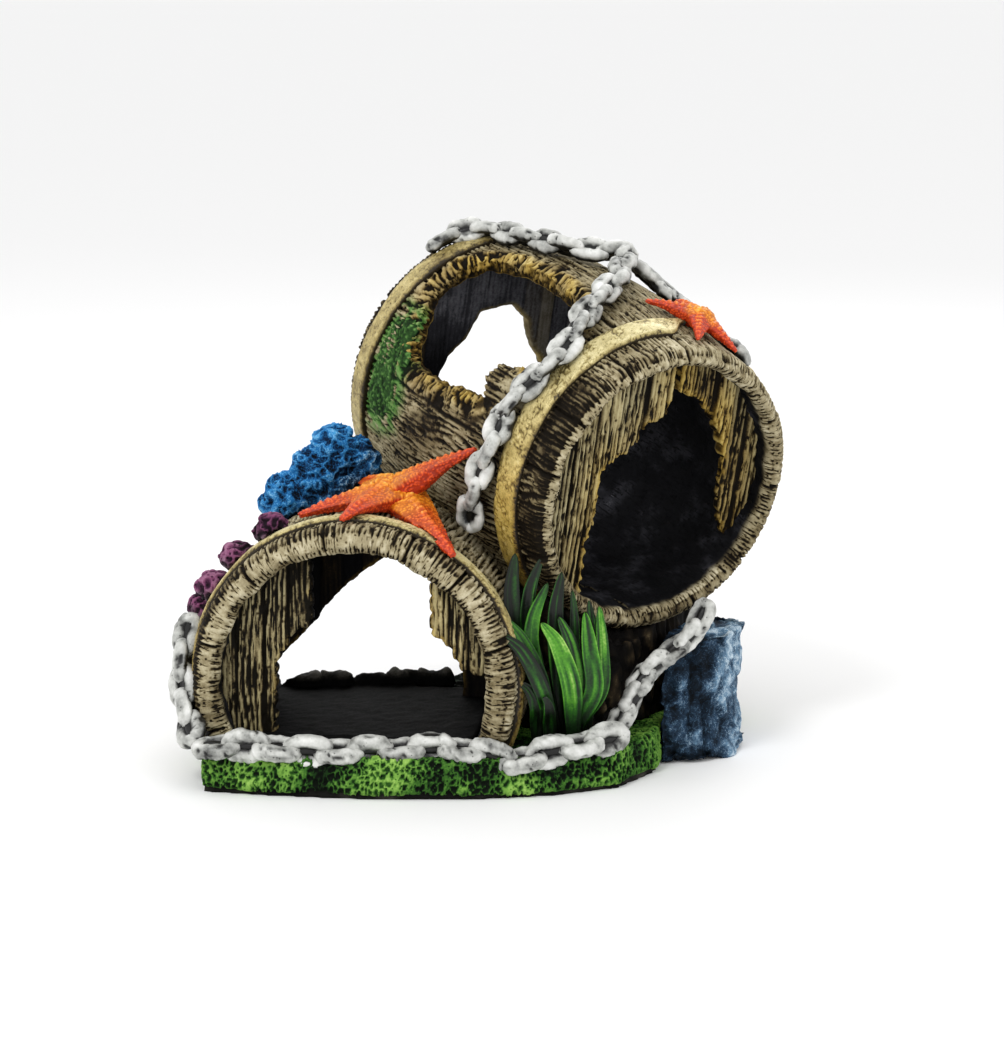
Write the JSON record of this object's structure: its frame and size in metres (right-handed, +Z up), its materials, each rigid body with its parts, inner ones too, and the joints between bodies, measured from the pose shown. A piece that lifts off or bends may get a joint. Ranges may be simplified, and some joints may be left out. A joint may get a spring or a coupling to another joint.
{
  "type": "aquarium bubbling ornament",
  "caption": "Painted resin aquarium ornament: a broken barrel leaning on a rock over a half-buried barrel, with chain, starfish, coral, leaves and an air inlet.",
  "frame": {"origin": "middle of the whole object's footprint, on the surface that it stands on", "axes": "+Z up; the front, with the two open barrel ends, faces -Y; +X to the right seen from the front"},
  "size_m": [0.1392, 0.1168, 0.1196],
  "materials": {
    "barrel_wood": "cast resin painted as old oak: dark wash in the grain, tan and yellow dry-brushed on the high spots",
    "broken_boards": "cast resin painted as broken oak boards, yellow on the torn edges",
    "hoop_gold": "pale gold paint, worn and hammered, satin",
    "dark_core": "dark brown washed resin rock with a little tan dry-brushing",
    "dark_interior": "flat near-black paint",
    "base_dark": "flat black-brown paint",
    "grass": "pitted turf, dark green wash with bright green dry-brushing",
    "chain_white": "silver-white dry-brushing over black, satin",
    "starfish_orange": "orange-red arms fading to a yellow centre, beaded",
    "coral_blue": "bright blue over a dark blue wash, wormy texture",
    "coral_mauve": "dusty mauve over grey-brown",
    "rock_blue": "navy rock with pale blue dry-brushing",
    "leaf_green": "bright green leaves with dark green creases, satin",
    "moss_green": "stippled dark green",
    "air_plastic": "black moulded plastic",
    "air_stone": "grey bonded mineral, porous"
  },
  "bodies": {
    "root": {"base_slab": "base_dark", "grass_bank": "grass", "tunnel_floor": "dark_core", "rock_pedestal": "dark_core", "blue_rock": "rock_blue", "small_barrel_shell": "barrel_wood", "small_front_hoop": "hoop_gold", "small_rear_hoop": "hoop_gold", "small_head_left": "broken_boards", "small_head_right": "broken_boards", "big_barrel_shell": "barrel_wood", "big_front_hoop": "hoop_gold", "big_rear_hoop": "hoop_gold", "front_head_left": "broken_boards", "front_head_right": "broken_boards", "rear_head": "dark_interior", "small_rear_head": "dark_interior", "chain_top": "chain_white", "chain_drape": "chain_white", "chain_shoulder": "chain_white", "chain_right": "chain_white", "chain_base": "chain_white", "chain_flank": "chain_white", "starfish_large": "starfish_orange", "starfish_small": "starfish_orange", "blue_coral": "coral_blue", "mauve_coral_1": "coral_mauve", "mauve_coral_2": "coral_mauve", "mauve_coral_3": "coral_mauve", "mauve_coral_4": "coral_mauve", "moss_patch": "moss_green", "leaf_clump_front": "leaf_green", "leaf_clump_left": "leaf_green", "leaf_clump_rear": "leaf_green", "air_inlet_barb": "air_plastic", "air_tube": "air_plastic", "air_stone": "air_stone"}
  },
  "joints": []
}
